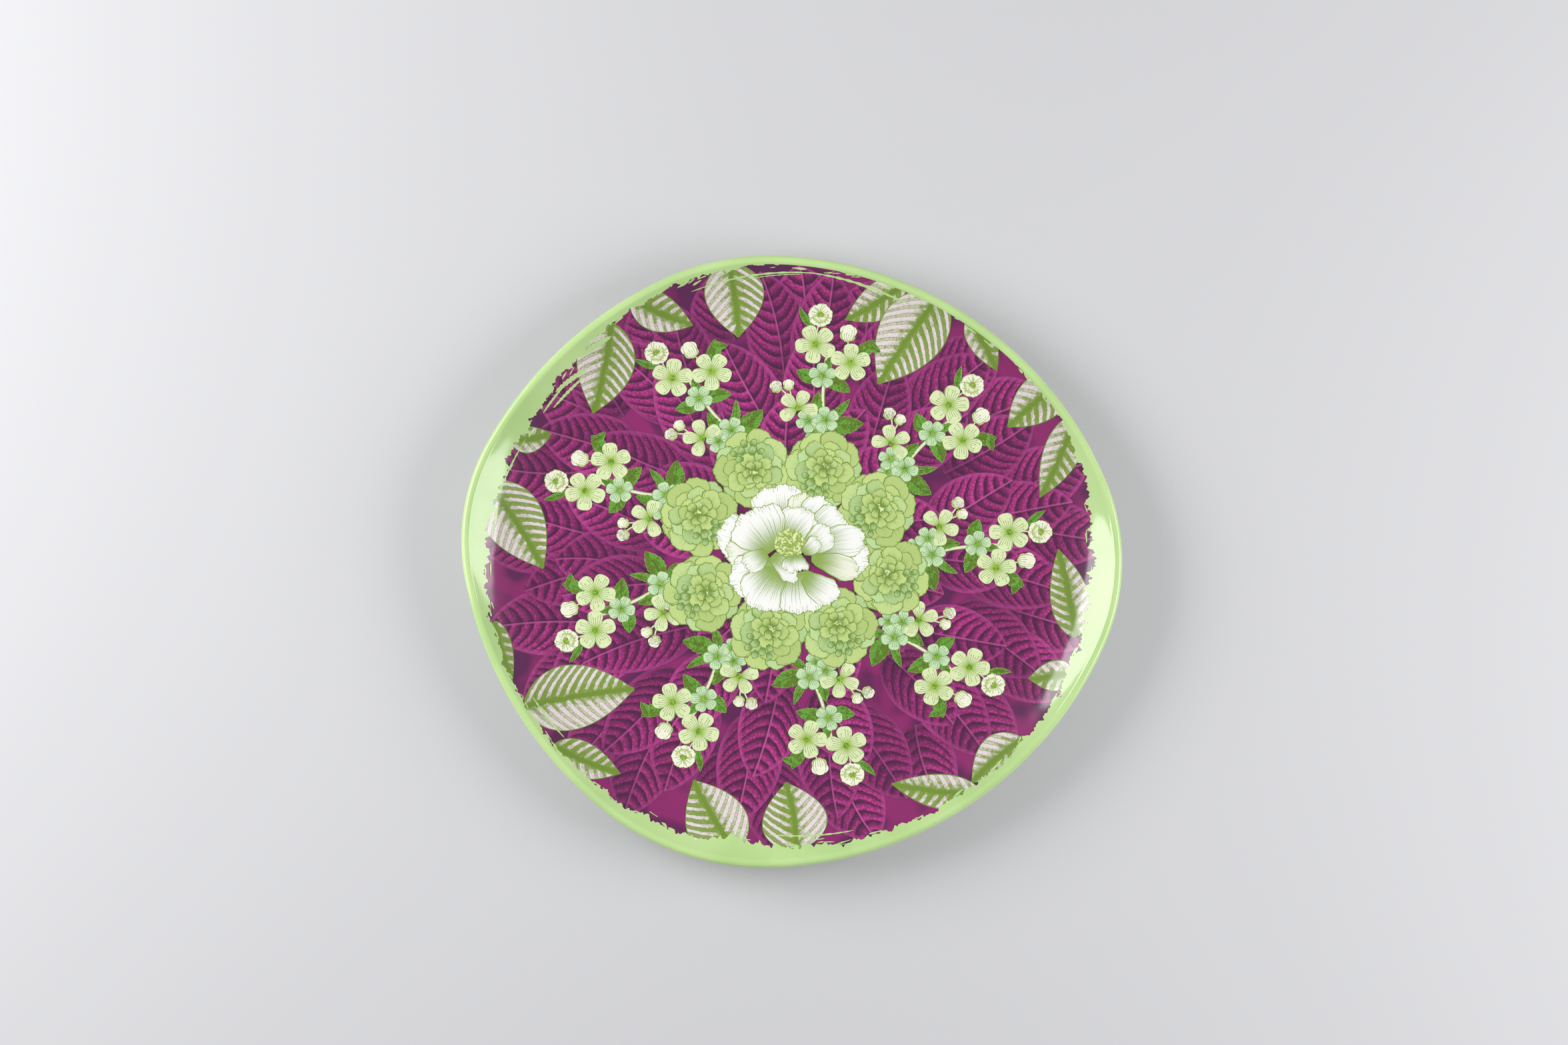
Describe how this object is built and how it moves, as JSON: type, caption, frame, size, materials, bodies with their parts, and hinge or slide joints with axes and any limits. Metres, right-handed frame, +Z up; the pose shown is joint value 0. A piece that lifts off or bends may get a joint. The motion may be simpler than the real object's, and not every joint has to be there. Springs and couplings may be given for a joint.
{
  "type": "serving platter",
  "caption": "Free-form coupe serving platter in glazed china, with a printed floral face, green rim band and plain foot ring.",
  "frame": {"origin": "middle of the platter's outline, on the plane that the foot ring rests on", "axes": "+Z up out of the face, +X along the long way of the platter to the viewer's right, +Y along the short way to the top of the pattern"},
  "size_m": [0.36, 0.334, 0.026],
  "materials": {
    "bisque": "fired white ware, bare only on the underside of the foot ring",
    "white_glaze": "glossy white glaze",
    "face_glaze": "glossy clear glaze over white ware",
    "green_glaze": "glossy light green glaze",
    "magenta_print": "printed broad leaves in magenta and plum under gloss",
    "variegated_print": "printed green and pinkish white leaves under gloss",
    "blossom_print": "printed pale green blossoms and green leaves under gloss",
    "wreath_print": "printed green double flowers under gloss",
    "peony_print": "printed ivory flower with green line work under gloss"
  },
  "bodies": {
    "root": {"ceramic_body": "bisque", "back_coat": "white_glaze", "face_coat": "face_glaze", "rim_band": "green_glaze", "leaf_ground": "magenta_print", "rim_leaves": "variegated_print", "blossom_sprays": "blossom_print", "wreath_flowers": "wreath_print", "peony": "peony_print"}
  },
  "joints": []
}
